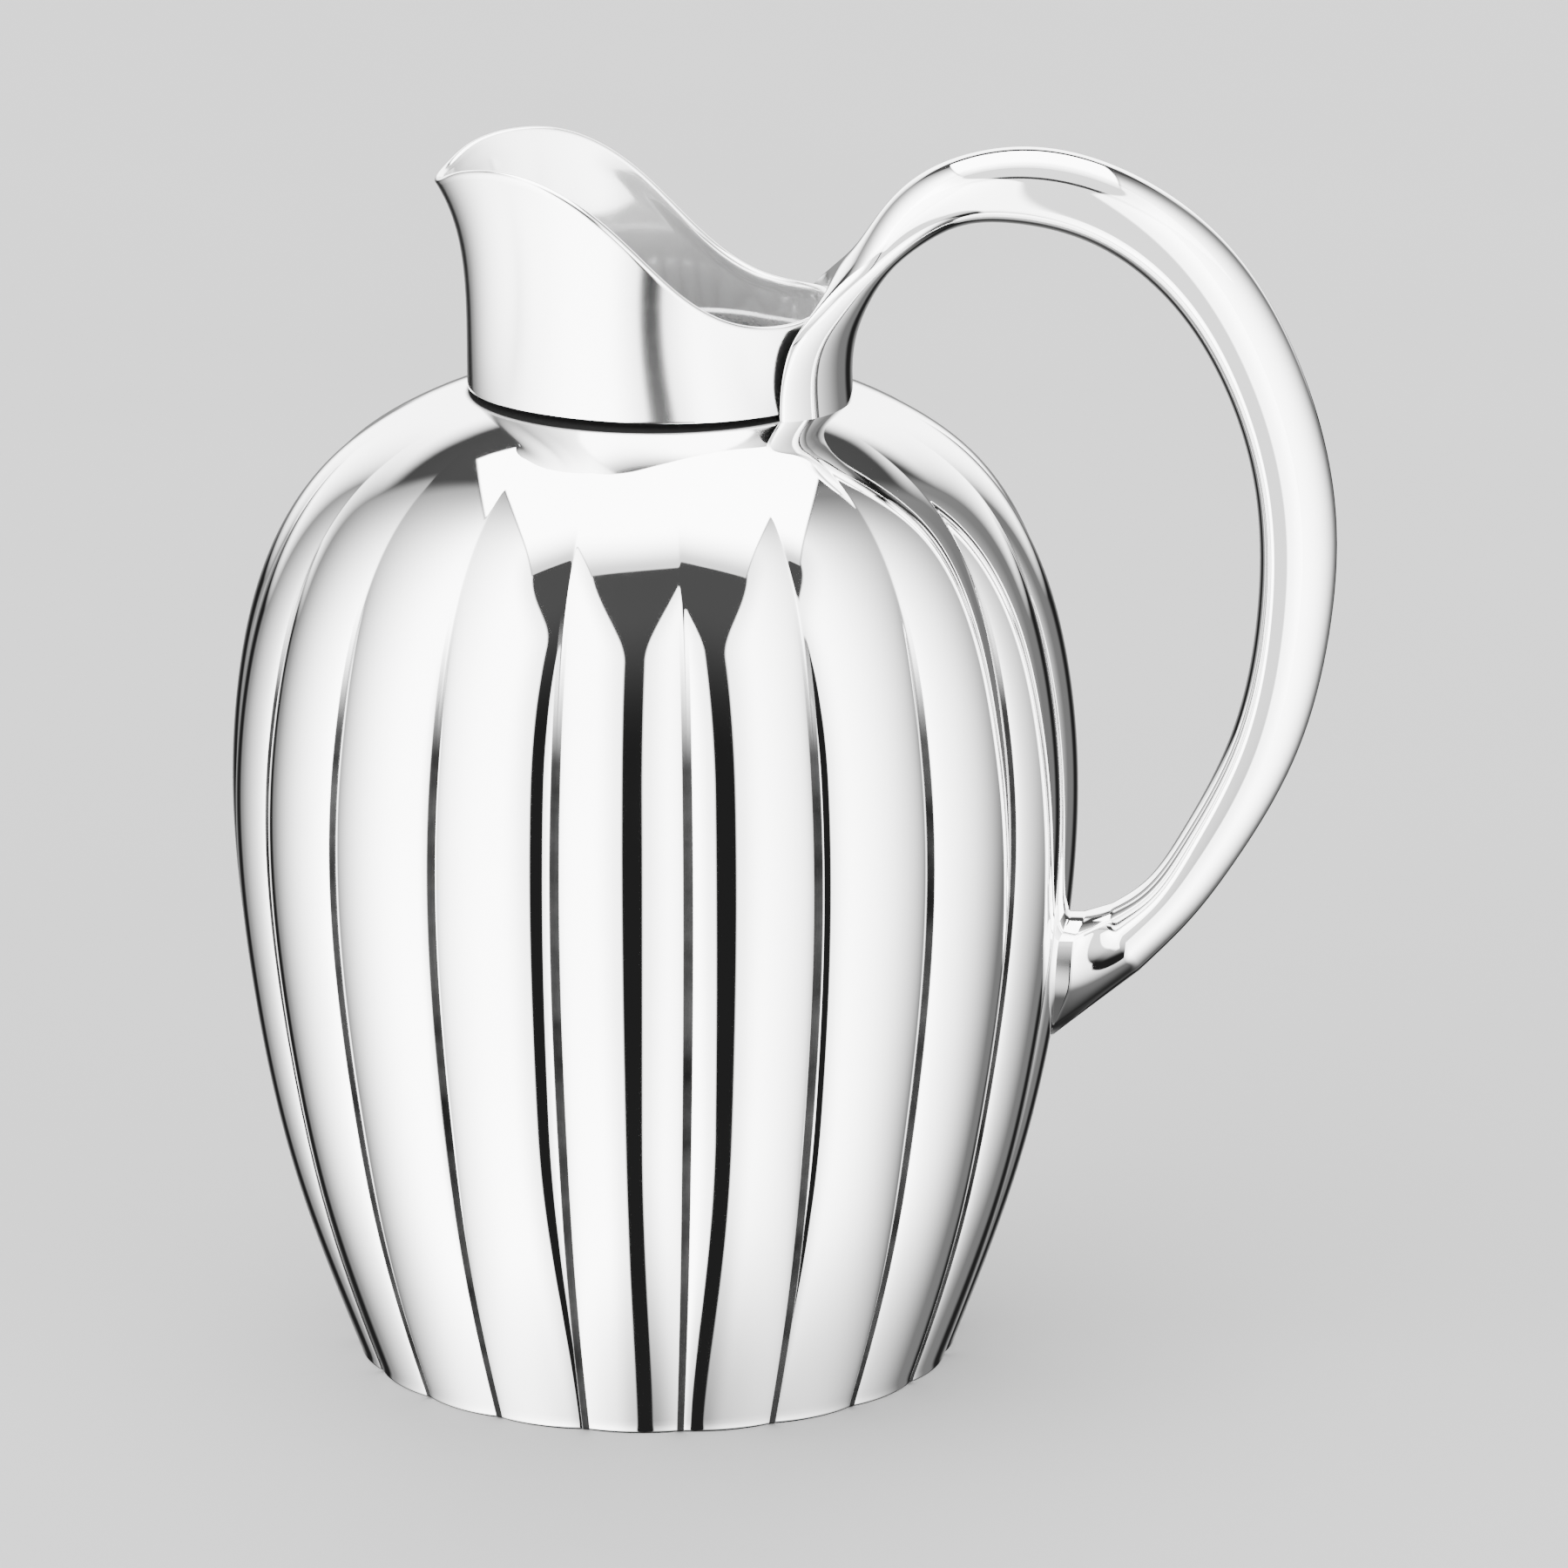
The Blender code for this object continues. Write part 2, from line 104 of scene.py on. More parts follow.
# handle sections: outer (x, z), inner (x, z), half width, wrap round the collar, squareness,
# and where the section is widest, from 0 at its inner side to 1 at its outer side
HANDLE_ROWS = [
    (31.2, 172.0, 34.9, 171.7, 22.0, 1.0, 2.6, 0.70),
    (31.2, 178.0, 34.7, 178.2, 21.8, 1.0, 2.6, 0.70),
    (31.0, 183.0, 35.4, 183.6, 21.0, 1.0, 2.6, 0.70),
    (30.4, 188.2, 36.9, 188.0, 18.6, 0.95, 2.5, 0.70),
    (31.0, 193.8, 38.8, 191.8, 13.6, 0.7, 2.3, 0.60),
    (34.6, 198.8, 41.6, 195.7, 9.4, 0.25, 2.1, 0.46),
    (39.0, 205.0, 45.4, 199.1, 7.2, 0.0, 2.05, 0.38),
    (46.6, 212.4, 52.0, 203.0, 6.5, 0.0, 2.05, 0.34),
    (62.0, 217.2, 61.6, 204.2, 6.8, 0.0, 2.05, 0.32),
    (82.5, 213.0, 75.8, 200.9, 7.0, 0.0, 2.05, 0.30),
    (99.1, 201.0, 88.6, 191.7, 7.1, 0.0, 2.0, 0.27),
    (112.2, 179.6, 99.4, 175.1, 7.0, 0.0, 2.0, 0.22),
    (118.6, 155.5, 105.0, 155.3, 6.9, 0.0, 2.0, 0.20),
    (118.2, 133.0, 105.3, 134.2, 6.6, 0.0, 2.0, 0.20),
    (112.4, 109.2, 101.0, 112.6, 6.0, 0.0, 2.0, 0.22),
    (101.4, 88.8, 92.4, 94.6, 5.7, 0.0, 2.0, 0.26),
    (93.4, 78.0, 86.2, 85.6, 6.1, 0.0, 2.0, 0.32),
    (85.6, 69.9, 80.4, 81.4, 6.9, 0.0, 2.1, 0.40),
]
ROOT_LAST_ROW = 6         # the hollow tube begins at this row
TUBE_LAST_ROW = 15        # and ends at this one
HANDLE_STATIONS = 300     # along the handle
HANDLE_STEPS = 96         # round it
SHIELD_LOW_Z = 57.0
SHIELD_HIGH_Z = 79.8
SHIELD_HALF_WIDTH = 7.7
SHIELD_THICKNESS = 2.6
SHIELD_TAPER = 1.15       # above 1 the full width is reached below the top
SHIELD_SQUARENESS = 1.5   # above 1 its sides are straighter
SHIELD_RISE = 1.8         # above 1 the full thickness is reached below the top
FLARE_ROWS = 18           # from the last section to the shield
FLARE_POWER = 1.1
SHIELD_EDGE_DEPTHS = (0.0, 0.25, 1.0)
SHIELD_SINK = 0.6         # how far its edge goes on below the body's surface
PATCH_CENTRE_Z, PATCH_HALF_HEIGHT, PATCH_HALF_WIDTH = 69.0, 17.0, 5.6
PATCH_GAP = 0.6


# ---------------------------------------------------------------- curves
def smooth_step(value):
    value = np.clip(value, 0.0, 1.0)
    return value * value * (3.0 - 2.0 * value)


def ease(value, start, stop):
    """A smooth climb from 0 at start to 1 at stop."""
    return smooth_step((value - start) / (stop - start))


def spline_at(knots, values, wanted):
    """Natural cubic interpolation of the rows of values, given at knots."""
    knots = np.array(knots, float)
    values = np.array(values, float)
    count = len(knots)
    gaps = np.diff(knots)
    matrix = np.eye(count)
    right = np.zeros_like(values)
    for i in range(1, count - 1):
        matrix[i, i - 1:i + 2] = gaps[i - 1], 2.0 * (gaps[i - 1] + gaps[i]), gaps[i]
        right[i] = 6.0 * ((values[i + 1] - values[i]) / gaps[i] - (values[i] - values[i - 1]) / gaps[i - 1])
    bend = np.linalg.solve(matrix, right)
    wanted = np.atleast_1d(wanted)
    i = np.clip(np.searchsorted(knots, wanted) - 1, 0, count - 2)
    before = ((wanted - knots[i]) / gaps[i])[:, None]
    after = 1.0 - before
    span = gaps[i][:, None]
    pull = (after ** 3 - after) * bend[i] + (before ** 3 - before) * bend[i + 1]
    return after * values[i] + before * values[i + 1] + pull * span ** 2 / 6.0


def chord_knots(points):
    """Length along a row of points, at each point."""
    steps = np.linalg.norm(np.diff(np.array(points, float), axis=0), axis=1)
    return np.concatenate([[0.0], np.cumsum(steps)])


def spline(points, samples):
    """A smooth curve through the points, sampled evenly."""
    knots = chord_knots(points)
    return spline_at(knots, points, np.linspace(0.0, knots[-1], samples))


# ---------------------------------------------------------------- meshes
def signed_volume(points, faces):
    total = 0.0
    for face in faces:
        first = points[face[0]]
        for a, b in zip(face[1:], face[2:]):
            total += np.dot(first, np.cross(points[a], points[b]))
    return total / 6.0


def make_object(name, points, faces, material, normals=None, sharp_degrees=35.0):
    """A mesh object from points in millimetres, turned so that its faces point outwards."""
    points = np.asarray(points, float)
    if signed_volume(points, faces) < 0.0:
        faces = [tuple(reversed(face)) for face in faces]
    mesh = bpy.data.meshes.new(name)
    mesh.from_pydata((points * MM).tolist(), [], faces)
    mesh.validate()
    mesh.shade_smooth()
    mesh.set_sharp_from_angle(angle=math.radians(sharp_degrees))
    if normals is not None:
        mesh.normals_split_custom_set_from_vertices(normals)
    mesh.materials.append(material)
    thing = bpy.data.objects.new(name, mesh)
    bpy.context.scene.collection.objects.link(thing)
    return thing


def grid_faces(rows, columns, close_rows):
    """Quads of a grid whose columns always close into a ring."""
    faces = []
    last = rows if close_rows else rows - 1
    for r in range(last):
        upper = (r + 1) % rows
        for c in range(columns):
            right = (c + 1) % columns
            faces.append((r * columns + c, r * columns + right, upper * columns + right, upper * columns + c))
    return faces


def capped_faces(rows, columns):
    """Faces of a ring grid that is closed at its first and last row."""
    faces = grid_faces(rows, columns, False)
    faces.append(tuple(range(columns - 1, -1, -1)))
    faces.append(tuple((rows - 1) * columns + c for c in range(columns)))
    return faces


def round_corner(centre, radius, start, stop, steps):
    """Arc of (r, z) points, with angles in degrees from the +r direction."""
    angles = np.radians(np.linspace(start, stop, steps))
    return [(centre[0] + radius * math.cos(a), centre[1] + radius * math.sin(a)) for a in angles]


def turned(name, profile, material, steps=192):
    """A ring or disc turned from a closed outline of (r, z) points."""
    angles = 2.0 * np.pi * np.arange(steps) / steps
    outline = np.array(profile, float)
    rings = np.stack([np.outer(outline[:, 0], np.cos(angles)), np.outer(outline[:, 0], np.sin(angles)),
                      np.repeat(outline[:, 1:], steps, axis=1)], axis=-1)
    return make_object(name, rings.reshape(-1, 3), grid_faces(len(outline), steps, True), material)


# ---------------------------------------------------------------- node graphs
class GraphMath:
    """Small helpers for arithmetic in a node graph."""

    def __init__(self, nodes, links):
        self.nodes = nodes
        self.links = links

    def math(self, operation, *values):
        node = self.nodes.new("ShaderNodeMath")
        node.operation = operation
        for socket, value in zip(node.inputs, values):
            if isinstance(value, (int, float)):
                socket.default_value = value
            else:
                self.links.new(value, socket)
        return node.outputs["Value"]

    def ramp(self, value, start, stop):
        """0 below start and 1 above stop."""
        node = self.nodes.new("ShaderNodeMapRange")
        node.interpolation_type = "SMOOTHSTEP"
        node.inputs["From Min"].default_value = start
        node.inputs["From Max"].default_value = stop
        self.links.new(value, node.inputs["Value"])
        return node.outputs["Result"]

    def below(self, value, start, stop):
        """1 below start and 0 above stop."""
        return self.math("SUBTRACT", 1.0, self.ramp(value, start, stop))

    def product(self, *values):
        total = values[0]
        for value in values[1:]:
            total = self.math("MULTIPLY", total, value)
        return total

    def dimmed(self, value, start, stop, loss):
        """1 below start, less the loss above stop."""
        return self.math("SUBTRACT", 1.0, self.product(self.ramp(value, start, stop), loss))


def new_material(name):
    material = bpy.data.materials.new(name)
    material.use_nodes = True
    return material, material.node_tree.nodes, material.node_tree.links


def noise(nodes, links, scale, detail, vector):
    texture = nodes.new("ShaderNodeTexNoise")
    texture.inputs["Scale"].default_value = scale
    texture.inputs["Detail"].default_value = detail
    links.new(vector, texture.inputs["Vector"])
    return texture.outputs["Fac"]


def spread(nodes, links, source, low, high, start=0.3, stop=0.7):
    """Map a noise value onto the range from low to high."""
    ranged = nodes.new("ShaderNodeMapRange")
    ranged.inputs["From Min"].default_value = start
    ranged.inputs["From Max"].default_value = stop
    ranged.inputs["To Min"].default_value = low
    ranged.inputs["To Max"].default_value = high
    links.new(source, ranged.inputs["Value"])
    return ranged.outputs["Result"]


def tinted(nodes, links, factor, dark, light):
    mix = nodes.new("ShaderNodeMix")
    mix.data_type = "RGBA"
    mix.inputs["A"].default_value = dark
    mix.inputs["B"].default_value = light
    links.new(factor, mix.inputs["Factor"])
    return mix.outputs["Result"]


def add_bump(nodes, links, shader, height, strength, distance):
    bump = nodes.new("ShaderNodeBump")
    bump.inputs["Strength"].default_value = strength
    bump.inputs["Distance"].default_value = distance
    links.new(height, bump.inputs["Height"])
    links.new(bump.outputs["Normal"], shader.inputs["Normal"])


def object_position(nodes):
    return nodes.new("ShaderNodeTexCoord").outputs["Object"]


def object_axes(nodes, links):
    """The x, y and z of a place on the object, in metres."""
    split = nodes.new("ShaderNodeSeparateXYZ")
    links.new(object_position(nodes), split.inputs["Vector"])
    return split.outputs["X"], split.outputs["Y"], split.outputs["Z"]


def stretched(nodes, links, vector, scale):
    mapping = nodes.new("ShaderNodeMapping")
    mapping.inputs["Scale"].default_value = scale
    links.new(vector, mapping.inputs["Vector"])
    return mapping.outputs["Vector"]


# ---------------------------------------------------------------- materials
MIRROR_HAZE = (0.018, 0.040)       # roughness
HAZE_SCALE = 28.0                  # noise scales are per metre
HAIRLINE_ROUGHNESS = 0.018
HAIRLINE_DEPTH = 0.000004          # in metres
SOFT_HAZE = (0.12, 0.15)           # of the collar, which is buffed less
INSIDE_HAZE = (0.11, 0.15)
INSIDE_GRAIN_SCALE = 240.0
INSIDE_METALLIC = 0.75             # below 1 for the whitish bloom of the unbuffed inside
SILVER_DULL = (0.895, 0.893, 0.892, 1.0)
SILVER_BRIGHT = (0.945, 0.944, 0.942, 1.0)
SATIN_ROUGHNESS = (0.22, 0.36)     # of the base and inner pieces
SATIN_GRAIN_DEPTH = 0.00004
SATIN_GRAIN_SCALE = 900.0
SATIN_CLOUD_SCALE = 60.0
TURNING_SCALE = 420.0              # of the rings on the base
# painted shade: a near-black laid into the grooves, the seam under the collar and the handle root's corner
PAINTED_SHADE_COLOUR = (0.008, 0.008, 0.008, 1.0)
PAINTED_SHADE_PATCH_SCALE = 90.0
PAINTED_SHADE_PATCHES = (0.96, 1.0)      # how fully it covers the metal
# places of the painted shade, each as the start and end of its soft edge, in metres or shares of a lobe
GROOVE_SHADE_ACROSS = (0.457, 0.467)
GROOVE_SHADE_TOP = (0.124, 0.150)
SEAM_SHADE_FOOT = (0.1732, 0.1735)
ROOT_SHADE_RADIUS = (0.0320, 0.0323)
ROOT_SHADE_TOP = (0.188, 0.192)


def polished_metal(name, hairline_scale, haze_range):
    """Mirror-polished silver-white metal with faint buffing haze and hairlines."""
    material, nodes, links = new_material(name)
    shader = nodes["Principled BSDF"]
    shader.inputs["Metallic"].default_value = 1.0
    place = object_position(nodes)
    haze = noise(nodes, links, HAZE_SCALE, 5.0, place)
    hairlines = noise(nodes, links, 1.0, 3.0, stretched(nodes, links, place, hairline_scale))
    colour = tinted(nodes, links, spread(nodes, links, haze, 0.0, 1.0), SILVER_DULL, SILVER_BRIGHT)
    links.new(colour, shader.inputs["Base Color"])
    rough = GraphMath(nodes, links).math("ADD", spread(nodes, links, haze, *haze_range),
                                         spread(nodes, links, hairlines, 0.0, HAIRLINE_ROUGHNESS, 0.5, 0.8))
    links.new(rough, shader.inputs["Roughness"])
    add_bump(nodes, links, shader, hairlines, 0.02, HAIRLINE_DEPTH)
    return material, nodes, links


def facing_inwards(nodes, links):
    """1 on surfaces that face the pitcher's axis and 0 on its outside."""
    coordinates = nodes.new("ShaderNodeTexCoord")
    flat = stretched(nodes, links, coordinates.outputs["Object"], (1.0, 1.0, 0.0))
    unit = nodes.new("ShaderNodeVectorMath")
    unit.operation = "NORMALIZE"
    links.new(flat, unit.inputs[0])
    dot = nodes.new("ShaderNodeVectorMath")
    dot.operation = "DOT_PRODUCT"
    links.new(unit.outputs["Vector"], dot.inputs[0])
    links.new(coordinates.outputs["Normal"], dot.inputs[1])
    return spread(nodes, links, dot.outputs["Value"], 1.0, 0.0, -0.35, -0.15)


def satin_inside(nodes, links):
    """The inside keeps the soft satin of its pressing where a buff does not reach."""
    shader = nodes["Principled BSDF"]
    outside = shader.inputs["Roughness"].links[0].from_socket
    inwards = facing_inwards(nodes, links)
    links.new(spread(nodes, links, inwards, 1.0, INSIDE_METALLIC, 0.0, 1.0), shader.inputs["Metallic"])
    mix = nodes.new("ShaderNodeMix")
    links.new(inwards, mix.inputs["Factor"])
    links.new(outside, mix.inputs["A"])
    grain = noise(nodes, links, INSIDE_GRAIN_SCALE, 3.0, object_position(nodes))
    links.new(spread(nodes, links, grain, *INSIDE_HAZE), mix.inputs["B"])
    links.new(mix.outputs["Result"], shader.inputs["Roughness"])


def darken(nodes, links, share):
    """Paint shade onto a metal: a dull near-black without shine, by the given share."""
    shader = nodes["Principled BSDF"]
    graph = GraphMath(nodes, links)
    mix = nodes.new("ShaderNodeMix")
    mix.data_type = "RGBA"
    links.new(shader.inputs["Base Color"].links[0].from_socket, mix.inputs["A"])
    mix.inputs["B"].default_value = PAINTED_SHADE_COLOUR
    links.new(share, mix.inputs["Factor"])
    links.new(mix.outputs["Result"], shader.inputs["Base Color"])
    metallic = shader.inputs["Metallic"]
    before = metallic.links[0].from_socket if metallic.is_linked else metallic.default_value
    links.new(graph.math("MULTIPLY", graph.math("SUBTRACT", 1.0, share), before), metallic)
    shader.inputs["Specular IOR Level"].default_value = 0.0


def paint_groove_and_seam_shade(nodes, links):
    """Painted shade at the bottom of the body's grooves and in the seam under the collar."""
    x, y, z = object_axes(nodes, links)
    graph = GraphMath(nodes, links)
    turn = graph.math("DIVIDE", graph.math("ARCTAN2", y, x), 2.0 * math.pi / LOBES)
    place = graph.math("SUBTRACT", graph.math("FRACT", graph.math("ADD", turn, 0.5)), 0.5)
    across = graph.math("ABSOLUTE", place)
    groove = graph.product(graph.ramp(across, *GROOVE_SHADE_ACROSS), graph.below(z, *GROOVE_SHADE_TOP))
    patches = noise(nodes, links, PAINTED_SHADE_PATCH_SCALE, 4.0, object_position(nodes))
    patchy = spread(nodes, links, patches, *PAINTED_SHADE_PATCHES)
    seam = graph.ramp(z, *SEAM_SHADE_FOOT)
    # the grooves and the seam are painted near-black where shade falls
    darken(nodes, links, graph.math("MAXIMUM", graph.product(groove, patchy), seam))


def paint_root_corner_shade(nodes, links):
    """Painted shade in the corner between the handle's root and the collar."""
    x, y, z = object_axes(nodes, links)
    graph = GraphMath(nodes, links)
    radius = graph.math("SQRT", graph.math("ADD", graph.product(x, x), graph.product(y, y)))
    corner = graph.product(graph.below(radius, *ROOT_SHADE_RADIUS), graph.below(z, *ROOT_SHADE_TOP))
    # the root's corner is painted near-black where shade falls
    darken(nodes, links, corner)


def satin_metal(name, dark, light, rings):
    """Turned or brushed metal: fine concentric lines when rings is set, else a soft grain."""
    material, nodes, links = new_material(name)
    shader = nodes["Principled BSDF"]
    shader.inputs["Metallic"].default_value = 1.0
    place = object_position(nodes)
    if rings:
        wave = nodes.new("ShaderNodeTexWave")
        wave.wave_type = "RINGS"
        wave.rings_direction = "Z"
        wave.inputs["Scale"].default_value = TURNING_SCALE
        wave.inputs["Distortion"].default_value = 0.6
        links.new(place, wave.inputs["Vector"])
        grain = wave.outputs["Fac"]
    else:
        grain = noise(nodes, links, SATIN_GRAIN_SCALE, 4.0, place)
    cloud = noise(nodes, links, SATIN_CLOUD_SCALE, 4.0, place)
    links.new(tinted(nodes, links, spread(nodes, links, cloud, 0.0, 1.0), dark, light),
              shader.inputs["Base Color"])
    links.new(spread(nodes, links, grain, *SATIN_ROUGHNESS), shader.inputs["Roughness"])
    add_bump(nodes, links, shader, grain, 0.15, SATIN_GRAIN_DEPTH)
    return material


# ---------------------------------------------------------------- body
def rounded_power(across, power):
    """across ** power, levelled out at the bottom of the groove."""
    start = 1.0 - GROOVE_ROUND
    past = np.maximum(across - start, 0.0)
    slope = power * start ** (power - 1.0)
    return np.minimum(across, start) ** power + slope * (past - past ** 2 / (2.0 * GROOVE_ROUND))


def lobe_drop(angle, height):
    """How far the surface lies inside the body's outline: 0 at the crests, deepest in the grooves."""
    across = np.abs((angle * LOBES / (2.0 * np.pi) + 0.5) % 1.0 * 2.0 - 1.0)
    top, full = SWELL_HEIGHTS
    swell = np.sin(np.pi / 2.0 * np.clip((top - height) / (top - full), 0.0, 1.0))
    crease = ease(height, *CREASE_HEIGHTS)
    low = LOBE_SHARE_AT_BASE + (1.0 - LOBE_SHARE_AT_BASE) * smooth_step(height / LOBE_FADE_Z)
    broad = LOBE_SWELL * swell * rounded_power(across, SWELL_POWER)
    return low * (broad + LOBE_CREASE * crease * rounded_power(across, CREASE_POWER))


def body_outline(samples):
    return spline(BODY_OUTLINE, samples)


OUTLINE = body_outline(600)


def body_radius(height):
    """Radius of the crests at a height."""
    return np.interp(height, OUTLINE[:, 1], OUTLINE[:, 0])


def shoulder_height(radius):
    """Height at which the shoulder has a radius."""
    tail = OUTLINE[OUTLINE[:, 1] > SHOULDER_FROM_Z][::-1]
    return np.interp(radius, tail[:, 0], tail[:, 1])


def lobe_angles():
    """Angles round the body, closer together beside the grooves."""
    width = 2.0 * np.pi / LOBES
    even = np.arange(LOBE_STEPS) * 2.0 / LOBE_STEPS - 1.0
    step = np.sign(even) * (1.0 - (1.0 - np.abs(even)) ** LOBE_CROWDING)
    return np.concatenate([width * (lobe + step / 2.0) for lobe in range(LOBES)])


def make_body(material):
    """Lobed shell with its lower edge turned in as a flat hem."""
    outer = body_outline(BODY_ROWS)
    slope = np.gradient(outer, axis=0)
    away = np.stack([slope[:, 1], -slope[:, 0]], axis=1)
    away /= np.linalg.norm(away, axis=1)[:, None]
    inner = (outer - away * WALL)[::-3]
    inner = inner[inner[:, 1] > 2.0 * WALL]
    corner = round_corner((BASE_R - BASE_CORNER, BASE_CORNER), BASE_CORNER, -90.0, -8.0, 7)
    hem = [(radius, 0.0) for radius in (HEM_INNER_R, 48.5, 50.5)]
    hem_top = [(inner[-1][0] - 0.2, WALL), (49.0, WALL), (HEM_INNER_R, WALL)]
    profile = np.array(hem + corner + outer[1:].tolist() + inner.tolist() + hem_top)
    share = np.ones(len(profile))
    share[:len(hem)] = [0.0, 0.35, 0.7]
    share[-len(hem_top):] = [0.8, 0.3, 0.0]
    angles = lobe_angles()
    drop = lobe_drop(angles[None, :], profile[:, 1:2]) * share[:, None]
    radius = profile[:, :1] - drop
    rings = np.stack([radius * np.cos(angles), radius * np.sin(angles),
                      np.repeat(profile[:, 1:], len(angles), axis=1)], axis=-1)
    faces = grid_faces(len(profile), len(angles), True)
    body = make_object("body_skin", rings.reshape(-1, 3), faces, material, sharp_degrees=60.0)
    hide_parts("body_shell")
    return body


def make_base(material, filler):
    """Base plate, whose flange lies on the hem, and the solder bead that seals it."""
    flange_low, flange_high = WALL + SEAM_GAP, 2.0 * WALL + SEAM_GAP
    profile = [(0.01, 0.0)] + [(radius, 0.0) for radius in (12.0, 30.0, 40.0)]
    profile += round_corner((44.9, 0.4), 0.4, -90.0, -20.0, 5) + [(46.1, flange_low), (FLANGE_R, flange_low)]
    profile += [(FLANGE_R, flange_high), (45.2, flange_high), (44.4, WALL), (30.0, WALL), (0.01, WALL)]
    plate = turned("base_plate_skin", profile, material)
    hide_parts("base_plate")
    bead = [(FLANGE_R, flange_high + SEAM_GAP)]
    bead += [(BEAD_R + 2.0 * math.cos(a) ** 1.6, flange_high + SEAM_GAP + 1.2 * math.sin(a) ** 1.6)
             for a in np.linspace(0.15, 1.45, 7)]
    bead += [(BEAD_R, flange_high + SEAM_GAP)]
    ring = turned("base_filler_bead", bead, filler)
    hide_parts("base_filler_ring")
    return plate, ring


# ---------------------------------------------------------------- collar
def collar_foot_radius(angle):
    """Egg-shaped plan of the collar's lower edge."""
    side = COLLAR_HALF_WIDTH * (1.0 + COLLAR_EGG * np.cos(angle))
    oval = 1.0 / np.hypot(np.sin(angle) / side, np.cos(angle) / COLLAR_HALF_LENGTH)
    return oval + COLLAR_CENTRE_X * np.cos(angle)


def mouth_at(angle):
    """Radius and height of the mouth's edge; both sides are alike."""
    degrees = np.degrees(np.arccos(np.cos(angle)))
    mirrored = [(-a, r, z) for a, r, z in MOUTH[2:0:-1]] + MOUTH
    mirrored += [(360 - a, r, z) for a, r, z in MOUTH[-2:-4:-1]]
    knots = [row[0] for row in mirrored]
    return spline_at(knots, [row[1:] for row in mirrored], degrees)


def collar_rows(angles, inset, shares):
    """Rows of the collar wall, inset from its outer surface, from its foot (0) to the mouth (1)."""
    foot = collar_foot_radius(angles)
    low = shoulder_height(foot - COLLAR_WALL) + COLLAR_SEAM
    mouth = mouth_at(angles)
    forward = -np.cos(angles)
    power = SIDE_CURVE + (SPOUT_CURVE - SIDE_CURVE) * ease(forward, *SPOUT_SPAN)
    waist = WAIST_SHARE * (mouth[:, 1] - low)
    waist = waist * ease(forward, *WAIST_BEGINS) * (1.0 - ease(forward, *WAIST_ENDS))
    rows = []
    for share in shares:
        radius = foot + (mouth[:, 0] - foot) * share ** power - 4.0 * waist * share * (1.0 - share) - inset
        height = low + (mouth[:, 1] - low) * share
        rows.append(np.stack([radius * np.cos(angles), radius * np.sin(angles), height], axis=-1))
    return rows


def make_collar(material):
    """Wall with a rounded foot edge and a thicker, fully rounded lip."""
    angles = 2.0 * np.pi * np.arange(COLLAR_STEPS) / COLLAR_STEPS
    shares = np.linspace(0.02, 1.0, COLLAR_ROWS)
    outer = collar_rows(angles, 0.0, shares)
    lip = []
    half = LIP_THICKNESS / 2.0
    for turn in np.linspace(0.0, np.pi, LIP_ROWS)[1:-1]:
        row = collar_rows(angles, half - half * math.cos(turn), [1.0])[0]
        row[:, 2] += half * math.sin(turn)
        lip.append(row)
    inner = []
    for share in np.linspace(1.0, 0.0, COLLAR_INNER_ROWS):
        thick = COLLAR_WALL + (LIP_THICKNESS - COLLAR_WALL) * ease(share, *LIP_BLEND)
        inner.append(collar_rows(angles, thick, [share])[0])
    foot = []
    for turn in np.linspace(0.0, np.pi / 2.0, FOOT_ROUND_ROWS)[:-1]:
        row = collar_rows(angles, FOOT_ROUND * (1.0 - math.sin(turn)), [0.0])[0]
        row[:, 2] += FOOT_ROUND * (1.0 - math.cos(turn))
        foot.append(row)
    rows = foot + outer + lip + inner
    points = np.concatenate(rows)
    collar = make_object("collar_skin", points, grid_faces(len(rows), COLLAR_STEPS, True), material,
                         sharp_degrees=50.0)
    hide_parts("collar_shell", "rim_lip")
    return collar


def make_neck_rings(material, filler):
    """Sleeve inside the joint of body and collar, and the solder bead round it."""
    outer, low, high = 26.6, 166.0, 180.0
    edge = 0.35
    profile = [(outer, low + edge), (outer, high - edge)]
    profile += round_corner((outer - edge, high - edge), edge, 0.0, 90.0, 4)[1:]
    profile += [(outer - 1.0, high), (outer - 1.0, low), (outer - edge, low)]
    sleeve = turned("neck_sleeve_skin", profile, material)
    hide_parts("neck_backing_ring")
    start = BODY_TOP_Z + SEAM_GAP
    bead = [(26.9, start), (28.1, start), (27.75, start + 0.25), (27.35, start + 0.6), (26.9, start + 1.2)]
    ring = turned("collar_filler_bead", bead, filler)
    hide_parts("collar_filler_ring")
    return sleeve, ring


# ---------------------------------------------------------------- handle
def collar_bend(sideways):
    """How far the back of the collar's oval has curved away at a sideways distance."""
    angles = np.radians(np.linspace(0.0, 80.0, 81))
    radii = collar_foot_radius(angles)
    along = radii * np.cos(angles)
    return along[0] - np.interp(np.abs(sideways), radii * np.sin(angles), along)


